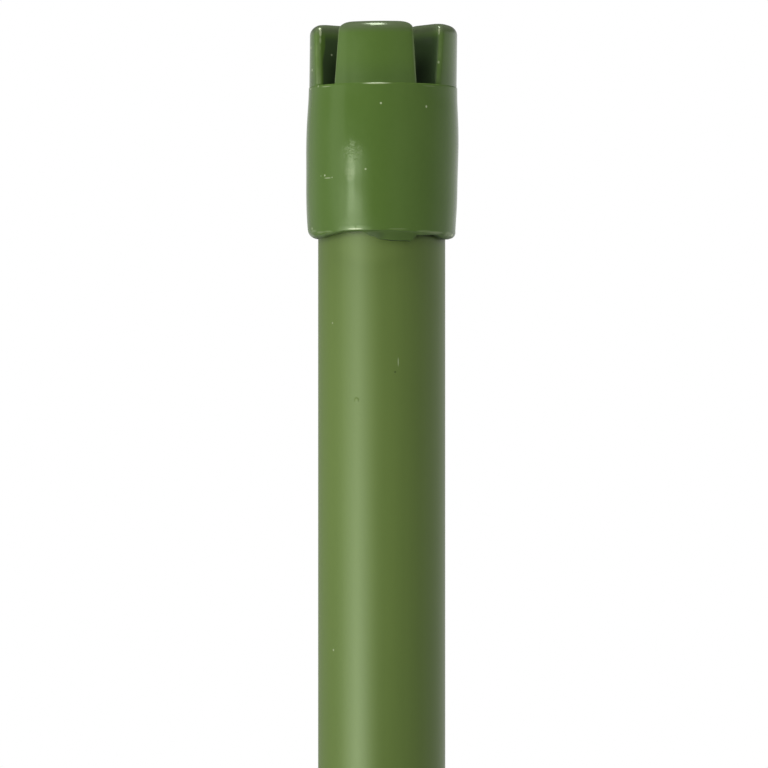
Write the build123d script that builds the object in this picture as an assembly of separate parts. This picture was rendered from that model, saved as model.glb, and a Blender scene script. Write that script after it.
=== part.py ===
from build123d import *
import os
from math import acos, atan2, cos, hypot, pi, radians, sin, tan

# Steel garden stake, in millimetres: a steel tube in a plastic jacket, with a slotted cap pushed over its
# top end and a barbed point plugged into its bottom end. The origin is on the axis at the soil line, +Z up.

# Overall sizes
SHANK_DIAMETER = 16.0  # over the jacket
OVERALL_LENGTH = 1200.0  # from the point to the tops of the prongs
SOIL_DEPTH = 300.0  # length that is pushed into the soil

# Tube and jacket
JACKET_WALL = 0.5
STEEL_WALL = 0.5

# Cap body: a barrel-shaped sleeve, closed by a floor above the tube end
SOCKET_DEPTH = 16.0  # length of tube inside the cap
SOCKET_CLEARANCE = 0.05  # radial, all the way up the socket
SOCKET_DRAFT = 0.5  # degrees; the jacket end is sized to the same taper
SOCKET_LEAD_IN = 0.2  # chamfer at the socket's mouth
CAP_FLOOR = 3.0
CAP_RIM_WALL = 1.24
CAP_BELLY_WALL = 1.54
CAP_SHOULDER_WALL = 1.29
BELLY_DROP = 7.2  # from the slot floors down to the widest part of the barrel
CAP_RIM_ROUND = 1.0
CAP_RIM_LAND = 0.1  # flat left at the bottom of the rim

# Crown of the cap: a ring of prongs with cord slots between them
SLOT_COUNT = 4
SLOT_WIDTH = 2.9  # at the slot floor
SLOT_DRAFT = 4.4  # degrees on each slot wall
PRONG_HEIGHT = 7.7
CROWN_BORE = 6.8  # diameter of the well inside the prongs
CROWN_SETBACK = 0.07  # step from the body's shoulder in to the prongs
PRONG_TOP_ROUND = 1.2  # outer top edge
PRONG_WELL_ROUND = 0.6  # top edge on the well side
PRONG_EDGE_ROUND = 0.5  # edges along the slots

# Ground tip: a cone flush with the shank, on a hollow barbed spigot
TIP_LENGTH = 45.0
TIP_LAND = 3.0  # straight stretch below the tube end
TIP_NOSE_RADIUS = 1.5
SPIGOT_WALL = 1.8
SPIGOT_CHAMFER = 0.8
SPIGOT_LEAD = 2.0  # plain end above the barbs, with the chamfer
BARB_COUNT = 4
BARB_HEIGHT = 0.4
BARB_LAND = 0.8  # crest that meets the bore
BARB_RAMP = 2.6  # slope above each crest
BARB_GAP = 1.6  # plain spigot between barbs
FIRST_BARB = 2.5  # from the tube end up to the lowest barb
TIP_CORE_DEPTH = 11.0  # how far the spigot's hollow reaches down into the cone

# Levels and radii that follow
POINT_Z = -SOIL_DEPTH
TUBE_BOTTOM_Z = POINT_Z + TIP_LENGTH
CROWN_TOP_Z = OVERALL_LENGTH - SOIL_DEPTH
SLOT_FLOOR_Z = CROWN_TOP_Z - PRONG_HEIGHT
TUBE_TOP_Z = SLOT_FLOOR_Z - CAP_FLOOR
CAP_RIM_Z = TUBE_TOP_Z - SOCKET_DEPTH
SHANK_RADIUS = SHANK_DIAMETER / 2
STEEL_RADIUS = SHANK_RADIUS - JACKET_WALL
BORE_RADIUS = STEEL_RADIUS - STEEL_WALL
TAPER_DROP = SOCKET_DEPTH * tan(radians(SOCKET_DRAFT))
SOCKET_MOUTH_RADIUS = SHANK_RADIUS + SOCKET_CLEARANCE
SHOULDER_RADIUS = SOCKET_MOUTH_RADIUS + CAP_SHOULDER_WALL
CROWN_RADIUS = SHOULDER_RADIUS - CROWN_SETBACK
WELL_RADIUS = CROWN_BORE / 2


def turned(*lines):
    """Solid of revolution about Z from the lines of a closed (radius, height) outline."""
    outline = make_face(Plane.XZ * Curve(lines))
    return revolve(outline, axis=Axis.Z)


def steel_tube():
    """Straight welded tube, square at both ends."""
    outline = Polyline(
        (BORE_RADIUS, TUBE_BOTTOM_Z),
        (STEEL_RADIUS, TUBE_BOTTOM_Z),
        (STEEL_RADIUS, TUBE_TOP_Z),
        (BORE_RADIUS, TUBE_TOP_Z),
        close=True,
    )
    return turned(outline)


def plastic_jacket():
    """Sleeve over the whole tube; its top end is sized to the taper of the cap's socket."""
    outline = Polyline(
        (STEEL_RADIUS, TUBE_BOTTOM_Z),
        (SHANK_RADIUS, TUBE_BOTTOM_Z),
        (SHANK_RADIUS, CAP_RIM_Z),
        (SHANK_RADIUS - TAPER_DROP, TUBE_TOP_Z),
        (STEEL_RADIUS, TUBE_TOP_Z),
        close=True,
    )
    return turned(outline)


def cap_body():
    """Barrel with a drafted blind socket from below and a flat floor on top for the prongs."""
    belly_radius = SOCKET_MOUTH_RADIUS + CAP_BELLY_WALL
    rim_radius = SOCKET_MOUTH_RADIUS + CAP_RIM_WALL
    rim_round = min(CAP_RIM_ROUND, CAP_RIM_WALL - SOCKET_LEAD_IN - CAP_RIM_LAND)
    rim_start = (rim_radius, CAP_RIM_Z + rim_round)
    rim_end = (rim_radius - rim_round, CAP_RIM_Z)
    shoulder = (SHOULDER_RADIUS, SLOT_FLOOR_Z - CROWN_SETBACK)
    floor_edge = (CROWN_RADIUS, SLOT_FLOOR_Z)
    return turned(
        Line((0, SLOT_FLOOR_Z), floor_edge),
        RadiusArc(floor_edge, shoulder, CROWN_SETBACK),
        ThreePointArc(shoulder, (belly_radius, SLOT_FLOOR_Z - BELLY_DROP), rim_start),
        RadiusArc(rim_start, rim_end, rim_round),
        Polyline(
            rim_end,
            (SOCKET_MOUTH_RADIUS + SOCKET_LEAD_IN, CAP_RIM_Z),
            (SOCKET_MOUTH_RADIUS, CAP_RIM_Z + SOCKET_LEAD_IN),
            (SOCKET_MOUTH_RADIUS - TAPER_DROP, TUBE_TOP_Z),
            (0, TUBE_TOP_Z),
            (0, SLOT_FLOOR_Z),
        ),
    )


def crown_ring():
    """Ring that the prongs are cut from, rounded over its outer and inner top edges."""
    return turned(
        Polyline(
            (WELL_RADIUS, CROWN_TOP_Z - PRONG_WELL_ROUND),
            (WELL_RADIUS, SLOT_FLOOR_Z),
            (CROWN_RADIUS, SLOT_FLOOR_Z),
            (CROWN_RADIUS, CROWN_TOP_Z - PRONG_TOP_ROUND),
        ),
        RadiusArc(
            (CROWN_RADIUS, CROWN_TOP_Z - PRONG_TOP_ROUND),
            (CROWN_RADIUS - PRONG_TOP_ROUND, CROWN_TOP_Z),
            -PRONG_TOP_ROUND,
        ),
        Line((CROWN_RADIUS - PRONG_TOP_ROUND, CROWN_TOP_Z), (WELL_RADIUS + PRONG_WELL_ROUND, CROWN_TOP_Z)),
        RadiusArc(
            (WELL_RADIUS + PRONG_WELL_ROUND, CROWN_TOP_Z),
            (WELL_RADIUS, CROWN_TOP_Z - PRONG_WELL_ROUND),
            -PRONG_WELL_ROUND,
        ),
    )


def cord_slots():
    """Cutters for the slots: from the axis outward, widening towards the top."""
    half_floor = SLOT_WIDTH / 2
    half_top = half_floor + PRONG_HEIGHT * tan(radians(SLOT_DRAFT))
    section = Polyline(
        (-half_floor, SLOT_FLOOR_Z),
        (half_floor, SLOT_FLOOR_Z),
        (half_top, CROWN_TOP_Z),
        (-half_top, CROWN_TOP_Z),
        close=True,
    )
    cutter = extrude(make_face(Plane.YZ * section), amount=SHOULDER_RADIUS)
    return [place * cutter for place in PolarLocations(0, SLOT_COUNT)]


def rounded_prongs():
    """Prongs, as the crown ring cut by the slots, with the edges along the slot walls rounded."""
    ring = crown_ring() - cord_slots()
    wall_edges = ring.edges().filter_by(GeomType.CIRCLE, reverse=True)
    upper_edges = wall_edges.filter_by(lambda edge: edge.center().Z > SLOT_FLOOR_Z + PRONG_EDGE_ROUND)
    return fillet(upper_edges, PRONG_EDGE_ROUND)


def slotted_cap():
    """Push-on cap: barrel body with the rounded prongs standing on its floor."""
    return cap_body() + rounded_prongs()


def ground_tip():
    """Pointed plug: round nose, cone, flush shoulder, and a hollow spigot with barbs against the bore."""
    nose_centre = POINT_Z + TIP_NOSE_RADIUS
    cone_top = TUBE_BOTTOM_Z - TIP_LAND
    reach = hypot(SHANK_RADIUS, cone_top - nose_centre)
    tangent = atan2(SHANK_RADIUS, cone_top - nose_centre) + acos(TIP_NOSE_RADIUS / reach)
    halfway = (tangent + pi) / 2

    def on_nose(angle):
        return (TIP_NOSE_RADIUS * sin(angle), nose_centre + TIP_NOSE_RADIUS * cos(angle))

    root_radius = BORE_RADIUS - BARB_HEIGHT
    barbs = []
    next_barb = TUBE_BOTTOM_Z + FIRST_BARB
    for _ in range(BARB_COUNT):
        barbs += [
            (root_radius, next_barb),
            (BORE_RADIUS, next_barb),
            (BORE_RADIUS, next_barb + BARB_LAND),
            (root_radius, next_barb + BARB_LAND + BARB_RAMP),
        ]
        next_barb += BARB_LAND + BARB_RAMP + BARB_GAP
    spigot_top = next_barb + SPIGOT_LEAD
    core_radius = root_radius - SPIGOT_WALL
    core_floor = TUBE_BOTTOM_Z - TIP_CORE_DEPTH
    return turned(
        ThreePointArc((0, POINT_Z), on_nose(halfway), on_nose(tangent)),
        Polyline(
            on_nose(tangent),
            (SHANK_RADIUS, cone_top),
            (SHANK_RADIUS, TUBE_BOTTOM_Z),
            (root_radius, TUBE_BOTTOM_Z),
            *barbs,
            (root_radius, spigot_top - SPIGOT_CHAMFER),
            (root_radius - SPIGOT_CHAMFER, spigot_top),
            (core_radius, spigot_top),
            (core_radius, core_floor),
            (0, core_floor),
            (0, POINT_Z),
        ),
    )


os.makedirs("parts", exist_ok=True)
for make_part in (steel_tube, plastic_jacket, slotted_cap, ground_tip):
    export_step(make_part(), f"parts/{make_part.__name__}.step")
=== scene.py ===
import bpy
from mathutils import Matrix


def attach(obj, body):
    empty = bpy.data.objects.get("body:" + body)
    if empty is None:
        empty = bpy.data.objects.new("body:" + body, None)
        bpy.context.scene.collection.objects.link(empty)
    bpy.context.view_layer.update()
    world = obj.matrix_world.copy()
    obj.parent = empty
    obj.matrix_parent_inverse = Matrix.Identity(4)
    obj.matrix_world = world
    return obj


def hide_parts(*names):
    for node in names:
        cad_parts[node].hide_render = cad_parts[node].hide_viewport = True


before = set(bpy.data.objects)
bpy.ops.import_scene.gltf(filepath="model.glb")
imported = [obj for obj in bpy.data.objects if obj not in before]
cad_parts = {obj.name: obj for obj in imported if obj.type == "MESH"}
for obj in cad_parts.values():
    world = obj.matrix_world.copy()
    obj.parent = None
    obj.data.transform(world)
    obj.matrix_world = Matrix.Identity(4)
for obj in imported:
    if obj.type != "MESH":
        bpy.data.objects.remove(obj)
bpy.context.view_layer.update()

# Steel garden stake: a plastic-jacketed steel tube with a slotted cap pushed over its top end and a point
# plugged into its bottom end. The stake's sizes are in millimetres and the studio's in metres; meshes and
# shaders are in metres. The origin is on the stake's axis at the soil line, with +Z up.

import logging
import math
from dataclasses import dataclass, field
from enum import Enum
from typing import Any, Optional, Union

import bmesh
import bpy
from mathutils import Vector

logging.basicConfig(level=logging.INFO, format="%(levelname)s %(message)s")
log = logging.getLogger("garden_stake")

MM = 0.001
SAME_SPOT = 1e-6  # millimetres
FRAME_PIXELS = 768
BAKE_MAP = "OFBake"
Point = tuple[float, float]
Curve = tuple[Point, ...]
Triple = tuple[float, float, float]
Colour = tuple[float, float, float, float]


def srgb(red: int, green: int, blue: int) -> Colour:
    """Gives the linear colour of three screen values.

    Args:
        red: Screen red, from 0 to 255.
        green: Screen green, from 0 to 255.
        blue: Screen blue, from 0 to 255.

    Returns:
        Linear red, green and blue, with full alpha.
    """
    linear = []
    for value in (red, green, blue):
        part = value / 255
        linear.append(part / 12.92 if part <= 0.04045 else ((part + 0.055) / 1.055) ** 2.4)
    return (linear[0], linear[1], linear[2], 1.0)


def smooth(share: float) -> float:
    """Eases a share from 0 to 1, and holds it outside."""
    held = max(0.0, min(1.0, share))
    return held * held * (3 - 2 * held)


class Signal:
    """Output of a node, which Python arithmetic extends with Math nodes."""

    def __init__(self, graph: "Graph", socket: Optional[bpy.types.NodeSocket]) -> None:
        """Wraps one output socket of a graph."""
        self.graph = graph
        self.socket = socket

    def other(self, output: Union[int, str]) -> "Signal":
        """Gives another output of the same node."""
        return Signal(self.graph, self.socket.node.outputs[output])

    def __add__(self, right: "Value") -> "Signal":
        """Adds a value."""
        return self.graph.math("ADD", self, right)

    def __radd__(self, left: "Value") -> "Signal":
        """Is added to a value."""
        return self.graph.math("ADD", left, self)

    def __sub__(self, right: "Value") -> "Signal":
        """Takes a value away."""
        return self.graph.math("SUBTRACT", self, right)

    def __rsub__(self, left: "Value") -> "Signal":
        """Is taken away from a value."""
        return self.graph.math("SUBTRACT", left, self)

    def __mul__(self, right: "Value") -> "Signal":
        """Multiplies by a value."""
        return self.graph.math("MULTIPLY", self, right)

    def __rmul__(self, left: "Value") -> "Signal":
        """Multiplies a value."""
        return self.graph.math("MULTIPLY", left, self)

    def __truediv__(self, right: "Value") -> "Signal":
        """Divides by a value."""
        return self.graph.math("DIVIDE", self, right)

    def __rtruediv__(self, left: "Value") -> "Signal":
        """Divides a value."""
        return self.graph.math("DIVIDE", left, self)

    def least(self, right: "Value") -> "Signal":
        """Gives the smaller of two values."""
        return self.graph.math("MINIMUM", self, right)

    def most(self, right: "Value") -> "Signal":
        """Gives the larger of two values."""
        return self.graph.math("MAXIMUM", self, right)

    def size(self) -> "Signal":
        """Gives the value without its sign."""
        return self.graph.math("ABSOLUTE", self)

    def ease(self, low: float, high: float, start: float = 0.0, end: float = 1.0) -> "Signal":
        """Maps a range to another with a smooth start and end, and holds outside it.

        Args:
            low: Value that gives start.
            high: Value that gives end.
            start: Result at and before low.
            end: Result at and after high.

        Returns:
            The mapped value.
        """
        sockets = {"Value": self, "From Min": low, "From Max": high, "To Min": start, "To Max": end}
        return self.graph.add("ShaderNodeMapRange", {"interpolation_type": "SMOOTHSTEP"}, sockets)

    def ease_mm(self, low: float, high: float, start: float = 0.0, end: float = 1.0) -> "Signal":
        """Does what ease does for a length, with low and high in millimetres."""
        return self.ease(low * MM, high * MM, start, end)


Value = Union[Signal, float]


class Graph:
    """Builder of one node tree: a material's, a lamp's, the world's or a Geometry Nodes tree."""

    def __init__(self, tree: bpy.types.NodeTree) -> None:
        """Starts on an empty tree."""
        self.tree = tree
        self.tree.nodes.clear()

    def add(
        self,
        kind: str,
        settings: Optional[dict[str, Any]] = None,
        sockets: Optional[dict[Union[int, str], Any]] = None,
        output: Union[int, str] = 0,
    ) -> Signal:
        """Adds one node.

        Args:
            kind: Type of the node.
            settings: Its settings, which are set before its sockets; stops are those of a colour ramp.
            sockets: Values or links of its inputs; a list links several to one input.
            output: The output to give back.

        Returns:
            The chosen output, or an empty signal if the node has none.
        """
        node = self.tree.nodes.new(kind)
        for name, value in (settings or {}).items():
            if name == "stops":
                self._set_stops(node, value)
            else:
                setattr(node, name, value)
        for key, value in (sockets or {}).items():
            for part in value if isinstance(value, list) else [value]:
                if isinstance(part, Signal):
                    self.tree.links.new(part.socket, node.inputs[key])
                else:
                    node.inputs[key].default_value = part
        return Signal(self, node.outputs[output] if len(node.outputs) else None)

    def _set_stops(self, node: bpy.types.Node, stops: list[tuple[float, Colour]]) -> None:
        """Sets the stops of a colour ramp.

        Args:
            node: The ramp.
            stops: Place and colour of each stop, from left to right.
        """
        node.color_ramp.interpolation = "EASE"
        elements = node.color_ramp.elements
        while len(elements) < len(stops):
            elements.new(1.0)
        for element, (place, colour) in zip(elements, stops):
            element.position = place
            element.color = colour

    def math(self, operation: str, first: Value, second: Value = 0.0) -> Signal:
        """Adds a Math node on one or two values."""
        return self.add("ShaderNodeMath", {"operation": operation}, {0: first, 1: second})

    def vector(
        self, operation: str, first: Any, second: Any = (0.0, 0.0, 0.0), output: str = "Vector"
    ) -> Signal:
        """Adds a Vector Math node on two vectors."""
        return self.add("ShaderNodeVectorMath", {"operation": operation}, {0: first, 1: second}, output)

    def scale(self, vector: Any, factor: Value) -> Signal:
        """Multiplies a vector by a value."""
        return self.add("ShaderNodeVectorMath", {"operation": "SCALE"}, {0: vector, "Scale": factor})

    def join(self, x: Value, y: Value, z: Value) -> Signal:
        """Makes a vector of three values."""
        return self.add("ShaderNodeCombineXYZ", {}, {"X": x, "Y": y, "Z": z})

    def split(self, vector: Signal, output: str = "X") -> Signal:
        """Takes a vector apart and gives one of its values; other gives the rest."""
        return self.add("ShaderNodeSeparateXYZ", {}, {"Vector": vector}, output)

    def reach(self, place: Signal) -> Signal:
        """Gives the distance of a place from the Z axis."""
        return self.vector("LENGTH", self.vector("MULTIPLY", place, (1.0, 1.0, 0.0)), output="Value")

    def noise(self, where: Signal, detail: float, roughness: float, scale: float) -> Signal:
        """Adds smooth noise from 0 to 1 at a place."""
        sockets = {"Vector": where, "Scale": scale, "Detail": detail, "Roughness": roughness}
        return self.add("ShaderNodeTexNoise", {}, sockets)

    def stretched(self, where: Signal, scales: Triple, detail: float = 3.0) -> Signal:
        """Adds noise with a scale of its own along each axis."""
        return self.noise(self.vector("MULTIPLY", where, scales), detail, roughness=0.5, scale=1.0)

    def curve(self, value: Value, stops: Curve) -> Signal:
        """Reads a smooth curve through some stops at a value from 0 to 1."""
        greys = [(place, (level, level, level, 1.0)) for place, level in stops]
        return self.add("ShaderNodeValToRGB", {"stops": greys}, {"Fac": value})

    def blend(self, factor: Value, first: Any, second: Any) -> Signal:
        """Mixes two colours by a factor."""
        settings = {"data_type": "RGBA", "clamp_factor": True}
        return self.add("ShaderNodeMix", settings, {0: factor, 6: first, 7: second}, 2)

    def bump(self, height: Signal, strength: float, depth: float) -> Signal:
        """Turns a pattern of heights into normals, for a depth in millimetres."""
        sockets = {"Strength": strength, "Distance": depth * MM, "Height": height}
        return self.add("ShaderNodeBump", {}, sockets)


@dataclass(frozen=True)
class PhotoView:
    """Camera that stands where the photograph was taken from, and directions and places as it sees them."""

    azimuth: float = 52.1
    distance: float = 506.3
    height: float = 855.0
    focal_pixels: float = 4022.0
    axis_pixel: float = 381.7
    nearest: float = 10.0

    def facing(self, angle: float) -> Vector:
        """Gives the level direction at an angle to the right of the line from the axis to the camera."""
        turn = math.radians(self.azimuth + angle)
        return Vector((math.sin(turn), -math.cos(turn), 0.0))

    def bearing(self) -> float:
        """Gives the camera's direction from the axis, in degrees from +X towards +Y."""
        return self.azimuth - 90.0

    def on_surface(self, pixel: Point, radius: float, lean: Optional["Lean"] = None) -> Vector:
        """Finds the place on a round surface that shows at a pixel.

        Args:
            pixel: Column and row in the photograph's frame.
            radius: Radius of the surface about its middle, in millimetres.
            lean: Lean of the surface's middle, if it has one.

        Returns:
            The place, in metres, with the lean taken out.
        """
        scale = self.distance / self.focal_pixels
        across = (pixel[0] - self.axis_pixel) * scale
        if lean:
            across -= lean.aside(self.height + (FRAME_PIXELS / 2 - pixel[1]) * scale)
        angle = math.asin(max(-1.0, min(1.0, across / radius)))
        depth = self.distance - radius * math.cos(angle)
        height = self.height + (FRAME_PIXELS / 2 - pixel[1]) * depth / self.focal_pixels
        return (self.facing(math.degrees(angle)) * radius + Vector((0.0, 0.0, height))) * MM

    def place_camera(self) -> None:
        """Adds the scene's camera, level and without shift."""
        lens = bpy.data.cameras.new("photo_camera")
        lens.lens = lens.sensor_width * self.focal_pixels / FRAME_PIXELS
        lens.clip_start = self.nearest * MM
        camera = bpy.data.objects.new("photo_camera", lens)
        aside = (FRAME_PIXELS / 2 - self.axis_pixel) * self.distance / self.focal_pixels
        place = self.facing(0.0) * self.distance + self.facing(90.0) * aside
        camera.location = (place + Vector((0.0, 0.0, self.height))) * MM
        camera.rotation_euler = (math.pi / 2, 0.0, math.radians(self.azimuth))
        bpy.context.scene.collection.objects.link(camera)
        bpy.context.scene.camera = camera


VIEW = PhotoView()


@dataclass(frozen=True)
class Lean:
    """Slight lean of the cap to the right of the photograph, about a level above its rim."""

    slope: float = 0.0112
    pivot: float = 877.8

    def aside(self, height: float) -> float:
        """Gives how far the cap's middle is pushed to the right at a height."""
        return self.slope * (height - self.pivot)

    def vector(self) -> Triple:
        """Gives the push for each unit of height."""
        return tuple(VIEW.facing(90.0) * self.slope)


LEAN = Lean()


@dataclass(frozen=True)
class TrimmedRim:
    """Lower edge of the cap, trimmed by hand: lifted at the front, with a lip of flash hanging under it.

    Each curve has angles in degrees to the right of the camera's line, with the share at each: of the lift,
    of the lip's drop, and of the way from the bluntest to the sharpest corner.
    """

    level: float = 873.3
    lift: float = 0.65
    drop: float = 1.12
    bluntest: float = -0.4
    sharpest: float = 0.8
    lifts: Curve = (
        (-58.0, 0.0), (-45.0, 0.38), (-29.0, 0.9), (-20.0, 0.93), (0.0, 0.88), (20.0, 0.78),
        (27.0, 0.64), (34.0, 0.54), (52.0, 0.5), (59.0, 0.2), (65.0, 0.0),
    )
    drops: Curve = (
        (-16.0, 0.0), (-8.0, 0.5), (0.0, 0.9), (9.0, 1.0), (24.0, 0.96),
        (30.0, 0.2), (48.0, 0.05), (60.0, 0.2), (70.0, 0.2), (85.0, 0.0),
    )
    sharpness: Curve = (
        (-180.0, 0.4), (-89.0, 0.16), (-62.0, 0.4), (-48.0, 0.65), (-34.0, 0.87),
        (50.0, 0.87), (80.0, 0.66), (90.0, 0.5), (180.0, 0.4),
    )

    def along(self, graph: Graph, turn: Signal, stops: Curve) -> Signal:
        """Reads one of the curves at an angle about the axis.

        Args:
            graph: The tree that needs the value.
            turn: Angle about the axis from +X towards +Y, in radians.
            stops: The curve.

        Returns:
            The value there; past the curve's ends it is the nearer end's.
        """
        seen = turn - math.radians(VIEW.bearing())
        wrapped = graph.math("ARCTAN2", graph.math("SINE", seen), graph.math("COSINE", seen))
        share = wrapped / math.tau + 0.5
        return graph.curve(share, tuple((angle / 360.0 + 0.5, value) for angle, value in stops))

    def edge(self, graph: Graph, axes: Signal) -> Signal:
        """Gives the height of the lifted edge at a place, without its lip.

        Args:
            graph: The tree that needs the value.
            axes: The place, as the outputs of a Separate XYZ node.

        Returns:
            The height, in metres.
        """
        turn = graph.math("ARCTAN2", axes.other("Y"), axes.other("X"))
        return self.along(graph, turn, self.lifts) * (self.lift * MM) + self.level * MM


RIM = TrimmedRim()


class Mark(Enum):
    """Kinds of mark that a plastic surface carries; pale specks and scratches also serve as painted glints
    and highlights, dark nicks as painted shade, and soft patches as painted light and highlight.
    """

    SPECK = "pale speck"
    PIMPLE = "raised pimple"
    NICK = "dark nick"
    SCRATCH = "pale scratch"
    PATCH = "soft worn patch"


@dataclass(frozen=True)
class BlemishAndPaintedLight:
    """One mark, placed by its pixel in the photograph's frame; some are real blemishes, others painted
    glints, highlights, light and shade.

    Its size is its width in millimetres, tall is its height as a multiple of that, and strength is how far
    it covers the colour below. Its radius is that of the surface it is on, where that isn't the piece's own.
    """

    kind: Mark
    pixel: Point
    size: float
    tall: float = 1.0
    strength: float = 0.6
    radius: Optional[float] = None

    def mask(self, graph: Graph, place: Signal, radius: float, lean: Optional[Lean] = None) -> Signal:
        """Gives the mark's soft-edged mask.

        Args:
            graph: The material's tree.
            place: Object coordinates, with any lean taken out.
            radius: Radius of the piece, in millimetres, unless the mark has its own.
            lean: Lean of the piece.

        Returns:
            The mark's strength inside it, zero outside.
        """
        centre = VIEW.on_surface(self.pixel, self.radius or radius, lean)
        offset = graph.vector("SUBTRACT", place, tuple(centre))
        squeezed = graph.vector("MULTIPLY", offset, (1.0, 1.0, 1.0 / self.tall))
        off_centre = graph.vector("LENGTH", squeezed, output="Value")
        return off_centre.ease_mm(self.size * 0.5, self.size * 0.2) * self.strength


class Finish:
    """Procedural finish of one material."""

    name: str

    def make(self) -> bpy.types.Material:
        """Builds the material.

        Returns:
            The finished material.
        """
        material = bpy.data.materials.new(self.name)
        material.use_nodes = True
        graph = Graph(material.node_tree)
        place = graph.add("ShaderNodeTexCoord", output="Object")
        shader = graph.add("ShaderNodeBsdfPrincipled", {}, self.surface(graph, place))
        graph.add("ShaderNodeOutputMaterial", {}, {"Surface": shader})
        return material

    def surface(self, graph: Graph, place: Signal) -> dict[str, Any]:
        """Works out the shader's inputs.

        Args:
            graph: The material's tree.
            place: Object coordinates.

        Returns:
            Values and links of the shader's inputs, by name.
        """
        raise NotImplementedError


# Colour of the soft boxes' reflection in the green plastics
GREEN_GLOSS: Colour = (0.84, 1.0, 0.68, 1.0)


@dataclass(frozen=True)
class JacketFinish(Finish):
    """Satin extruded plastic: lines along the tube, slow mottling, a fine grain, darker towards the bottom, a
    few marks, and painted shadow and painted light just under the cap's rim.
    """

    radius: float
    name: str = "jacket_plastic"
    dark: Colour = srgb(88, 109, 49)
    light: Colour = srgb(97, 118, 55)
    pale: Colour = srgb(176, 186, 150)
    # Colour of dark nicks and of painted shadow in the gap under the cap's rim.
    grime_and_shade: Colour = srgb(30, 36, 18)
    # Colours of painted shadow under the cap's rim and of the darkening towards the bottom, and of painted
    # light just under the rim.
    shade: Colour = srgb(48, 64, 24)
    painted_light: Colour = srgb(118, 140, 72)
    roughness: float = 0.40
    refraction: float = 1.58
    line_scales: Triple = (850.0, 850.0, 5.0)
    mottle_scales: Triple = (70.0, 70.0, 22.0)
    grain_scale: float = 2600.0
    dust_scale: float = 330.0
    relief_depth: float = 0.02
    mottling: float = 0.9
    lining: float = 0.8
    darkening_cover: float = 0.1
    dust_cover: float = 0.2
    rim_shadow_cover: float = 0.5
    pimple_rise: float = 6.0
    nick_depth: float = 2.0
    undarkened_above: float = 842.0
    darkened_below: float = 806.0
    painted_light_spot: BlemishAndPaintedLight = BlemishAndPaintedLight(Mark.PATCH, (370.0, 246.0), 11.0, 0.5, 0.24)
    marks: tuple[BlemishAndPaintedLight, ...] = (
        BlemishAndPaintedLight(Mark.SPECK, (333.0, 323.0), 0.30),
        BlemishAndPaintedLight(Mark.NICK, (395.0, 372.0), 0.34),
        BlemishAndPaintedLight(Mark.SCRATCH, (398.0, 362.0), 0.16, 9.0),
        BlemishAndPaintedLight(Mark.PIMPLE, (357.0, 400.0), 0.75, 1.0, 1.0),
        BlemishAndPaintedLight(Mark.SPECK, (334.0, 650.0), 0.35),
        # These three darken the tube in the gap just under the cap's rim: painted shadow.
        BlemishAndPaintedLight(Mark.NICK, (429.5, 235.4), 4.0, 0.12, 0.6),
        BlemishAndPaintedLight(Mark.NICK, (438.5, 235.2), 0.9, 0.4, 0.8),
        BlemishAndPaintedLight(Mark.NICK, (355.0, 231.8), 3.0, 0.18, 0.4),
    )

    def surface(self, graph: Graph, place: Signal) -> dict[str, Any]:
        """Works out the shader's inputs.

        Args:
            graph: The material's tree.
            place: Object coordinates.

        Returns:
            Values and links of the shader's inputs, by name.
        """
        lines = graph.stretched(place, self.line_scales)
        mottle = graph.stretched(place, self.mottle_scales)
        grain = graph.noise(place, detail=2.0, roughness=0.6, scale=self.grain_scale)
        tone = (mottle - 0.5) * self.mottling + (lines - 0.5) * self.lining + 0.5
        colour = graph.blend(tone, self.dark, self.light)
        # Darker towards the bottom of the tube.
        darkening = graph.split(place, "Z").ease_mm(self.undarkened_above, self.darkened_below)
        colour = graph.blend(darkening * self.darkening_cover, colour, self.shade)
        # A paler patch just under the cap's rim: painted light.
        colour = graph.blend(self.painted_light_spot.mask(graph, place, self.radius), colour, self.painted_light)
        colour = graph.blend(self._dust(graph, place) * self.dust_cover, colour, self.pale)
        # Painted shadow on the tube just under the cap's rim.
        colour = graph.blend(self._rim_shadow(graph, place) * self.rim_shadow_cover, colour, self.shade)
        relief = grain * 0.5 + lines * 0.35
        for mark in self.marks:
            mask = mark.mask(graph, place, self.radius)
            if mark.kind is Mark.PIMPLE:
                relief = relief + mask * self.pimple_rise
            elif mark.kind is Mark.NICK:
                colour = graph.blend(mask, colour, self.grime_and_shade)
                relief = relief - mask * self.nick_depth
            else:
                colour = graph.blend(mask, colour, self.pale)
        return {
            "Base Color": colour,
            "Roughness": self.roughness + (mottle - 0.5) * 0.10 + (grain - 0.5) * 0.06,
            "Normal": graph.bump(relief, strength=0.35, depth=self.relief_depth),
            "IOR": self.refraction,
            "Specular Tint": GREEN_GLOSS,
        }

    def _dust(self, graph: Graph, place: Signal) -> Signal:
        """Scatters sparse pale specks, one in some cells of a fixed pattern.

        Args:
            graph: The material's tree.
            place: Object coordinates.

        Returns:
            The specks' mask.
        """
        cells = graph.add("ShaderNodeTexVoronoi", {}, {"Vector": place, "Scale": self.dust_scale})
        chance = graph.add("ShaderNodeSeparateColor", {}, {"Color": cells.other("Color")})
        return cells.other("Distance").ease(0.09, 0.05) * chance.ease(0.88, 0.9)

    def _rim_shadow(self, graph: Graph, place: Signal) -> Signal:
        """Finds the painted shadow on the tube just under the cap's rim.

        Args:
            graph: The material's tree.
            place: Object coordinates.

        Returns:
            The shadow's mask.
        """
        axes = graph.split(place)
        below = RIM.edge(graph, axes) - axes.other("Z")
        return below.ease_mm(0.8, 0.05) * below.ease_mm(-1.2, -0.6)


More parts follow.
